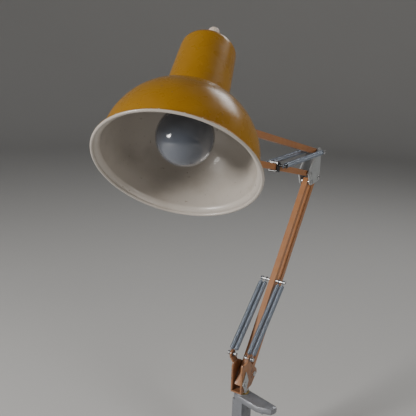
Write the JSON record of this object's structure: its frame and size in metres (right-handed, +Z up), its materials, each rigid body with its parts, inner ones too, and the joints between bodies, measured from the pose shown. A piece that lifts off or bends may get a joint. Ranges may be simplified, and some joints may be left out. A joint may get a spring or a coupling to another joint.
{
  "type": "architect desk lamp",
  "caption": "Clamp-on balanced-arm work lamp with sprung parallel square tubes, a swivelling and tilting dome shade on a tall neck, a globe bulb and a screw clamp.",
  "frame": {"origin": "middle of the clamp's upper contact face, at the table top, over the clamp screw", "axes": "+Z up, the arms move in a plane parallel to YZ, the lower arm leans to +Y, the shade reaches to -Y"},
  "size_m": [0.175, 0.5658, 0.6797],
  "materials": {
    "mustard_enamel": "glossy enamel",
    "ochre_paint": "worn satin paint",
    "cast_paint": "hammered silver paint",
    "plate_steel": "light grey satin paint",
    "zinc_steel": "zinc plated",
    "spring_steel": "closely wound wire",
    "brass_bush": "turned, dull",
    "black_plastic": "moulded, slightly worn",
    "ivory_plastic": "moulded",
    "black_rubber": "matt",
    "lead_sheath": "smooth flexible sheath",
    "bulb_glass": "frosted from inside, glossy outside"
  },
  "bodies": {
    "clamp": {"clamp_body": "cast_paint", "swivel_bush": "brass_bush"},
    "clamp_pad": {"clamp_pad": "zinc_steel"},
    "clamp_screw": {"clamp_screw": "zinc_steel", "screw_cross_bar": "zinc_steel", "cross_bar_cap_left": "black_plastic", "cross_bar_cap_right": "black_plastic"},
    "base": {"base_bracket": "ochre_paint", "bracket_spigot": "zinc_steel", "spigot_collar": "zinc_steel", "diamond_plate": "plate_steel", "front_base_pin": "zinc_steel", "rear_base_pin": "zinc_steel", "near_ear_pin": "zinc_steel", "far_ear_pin": "zinc_steel"},
    "front_bar": {"lower_front_tube": "ochre_paint", "lower_spring_pin": "zinc_steel"},
    "rear_bar": {"lower_rear_tube": "ochre_paint", "cord_gland": "cast_paint"},
    "lower_springs": {"lower_spring_far_outer": "spring_steel", "lower_spring_far_inner": "spring_steel", "lower_spring_near_inner": "spring_steel", "lower_spring_near_outer": "spring_steel"},
    "lower_hooks": {"lower_hook_far_outer": "spring_steel", "lower_hook_far_inner": "spring_steel", "lower_hook_near_inner": "spring_steel", "lower_hook_near_outer": "spring_steel"},
    "elbow": {"elbow_plate_near": "plate_steel", "elbow_plate_far": "plate_steel", "elbow_front_pin": "zinc_steel", "elbow_rear_pin": "zinc_steel", "elbow_lower_pin": "zinc_steel", "elbow_spring_pin": "zinc_steel"},
    "top_bar": {"upper_top_tube": "ochre_paint", "upper_top_plug": "ochre_paint"},
    "low_bar": {"upper_low_tube": "ochre_paint", "upper_low_plug": "ochre_paint", "spring_clip": "black_plastic"},
    "upper_springs": {"upper_spring_far": "spring_steel", "upper_spring_near": "spring_steel"},
    "upper_hooks": {"upper_hook_far": "spring_steel", "upper_hook_near": "spring_steel"},
    "head": {"head_plate_near": "plate_steel", "head_plate_far": "plate_steel", "head_low_pin": "zinc_steel", "head_top_pin": "zinc_steel", "head_block": "cast_paint"},
    "knuckle": {"head_knuckle": "cast_paint", "tilt_bolt": "zinc_steel", "head_lead": "lead_sheath"},
    "tilt_knob": {"tilt_knob": "black_plastic"},
    "shade": {"shade_dome": "mustard_enamel", "shade_neck": "mustard_enamel", "shade_lug": "cast_paint", "lampholder": "black_plastic", "bulb_glass": "bulb_glass", "bulb_cap": "zinc_steel", "lead_grommet": "black_rubber"},
    "switch_knob": {"switch_knob": "ivory_plastic"}
  },
  "joints": [
    {"name": "clamp_travel", "type": "slide", "parent": "clamp", "child": "clamp_pad", "axis": [0, 0, 1], "range_m": [-0.0161, 0.0201]},
    {"name": "clamp_screw_turn", "type": "hinge", "parent": "clamp_pad", "child": "clamp_screw", "pos_m": [0, 0, -0.1], "axis": [0, 0, 1], "range_deg": [-2880, 3600]},
    {"name": "base_swivel", "type": "hinge", "parent": "clamp", "child": "base", "pos_m": [-0.03228, 0.00686, 0], "axis": [0, 0, 1], "continuous": true},
    {"name": "lower_arm_lean", "type": "hinge", "parent": "base", "child": "front_bar", "pos_m": [-0.03228, -0.00714, 0.0365], "axis": [-1, 0, 0], "range_deg": [-32, 14]},
    {"name": "rear_bar_lean", "type": "hinge", "parent": "base", "child": "rear_bar", "pos_m": [-0.03228, 0.02486, 0.0395], "axis": [-1, 0, 0], "range_deg": [-33, 15]},
    {"name": "elbow_upright", "type": "hinge", "parent": "front_bar", "child": "elbow", "pos_m": [-0.03228, 0.20783, 0.32701], "axis": [-1, 0, 0], "range_deg": [-15, 33]},
    {"name": "lower_spring_swing", "type": "hinge", "parent": "base", "child": "lower_springs", "pos_m": [-0.03228, -0.00634, 0.0825], "axis": [-1, 0, 0], "range_deg": [-41.33, 18.09]},
    {"name": "lower_spring_stretch", "type": "slide", "parent": "lower_springs", "child": "lower_hooks", "axis": [0, 0.7384, 0.6744], "range_m": [-0.0146, 0.00667], "deforming": ["lower_spring_far_outer", "lower_spring_far_inner", "lower_spring_near_inner", "lower_spring_near_outer"]},
    {"name": "upper_arm_lift", "type": "hinge", "parent": "elbow", "child": "top_bar", "pos_m": [-0.03228, 0.23683, 0.37701], "axis": [-1, 0, 0], "range_deg": [-28, 32]},
    {"name": "low_bar_lift", "type": "hinge", "parent": "elbow", "child": "low_bar", "pos_m": [-0.03228, 0.20183, 0.34251], "axis": [-1, 0, 0], "range_deg": [-29, 33]},
    {"name": "upper_spring_swing", "type": "hinge", "parent": "elbow", "child": "upper_springs", "pos_m": [-0.03228, 0.23683, 0.37701], "axis": [-1, 0, 0], "range_deg": [-22.4, 25.6]},
    {"name": "upper_spring_stretch", "type": "slide", "parent": "upper_springs", "child": "upper_hooks", "axis": [0, -0.9999, -0.0159], "range_m": [-0.01977, 0.01736], "deforming": ["upper_spring_far", "upper_spring_near"]},
    {"name": "head_upright", "type": "hinge", "parent": "top_bar", "child": "head", "pos_m": [-0.03228, -0.09459, 0.45292], "axis": [-1, 0, 0], "range_deg": [-33, 29]},
    {"name": "head_swivel", "type": "hinge", "parent": "head", "child": "knuckle", "pos_m": [-0.03228, -0.13414, 0.435], "axis": [0, 0, 1], "range_deg": [-75, 75]},
    {"name": "tilt_knob_turn", "type": "hinge", "parent": "knuckle", "child": "tilt_knob", "pos_m": [-0.02428, -0.13949, 0.461], "axis": [0.9489, 0.3156, 0], "continuous": true},
    {"name": "head_tilt", "type": "hinge", "parent": "knuckle", "child": "shade", "pos_m": [-0.02428, -0.13949, 0.461], "axis": [-0.9489, -0.3156, 0], "range_deg": [-30, 45], "deforming": ["head_lead"]},
    {"name": "switch_turn", "type": "hinge", "parent": "shade", "child": "switch_knob", "pos_m": [-0.01224, -0.17567, 0.50063], "axis": [-0.2274, 0.6837, 0.6934], "range_deg": [0, 90]}
  ],
  "couplings": [
    {"joint": "clamp_travel", "follows": "clamp_screw_turn", "m_per_rad": 0.00031831},
    {"joint": "rear_bar_lean", "follows": "lower_arm_lean", "ratio": 1},
    {"joint": "elbow_upright", "follows": "lower_arm_lean", "ratio": -1},
    {"joint": "lower_spring_swing", "follows": "lower_arm_lean", "ratio": 1.266},
    {"joint": "lower_spring_stretch", "follows": "lower_arm_lean", "m_per_rad": 0.02525},
    {"joint": "low_bar_lift", "follows": "upper_arm_lift", "ratio": 1},
    {"joint": "head_upright", "follows": "upper_arm_lift", "ratio": -1},
    {"joint": "upper_spring_swing", "follows": "upper_arm_lift", "ratio": 0.784},
    {"joint": "upper_spring_stretch", "follows": "upper_arm_lift", "m_per_rad": -0.0345}
  ]
}
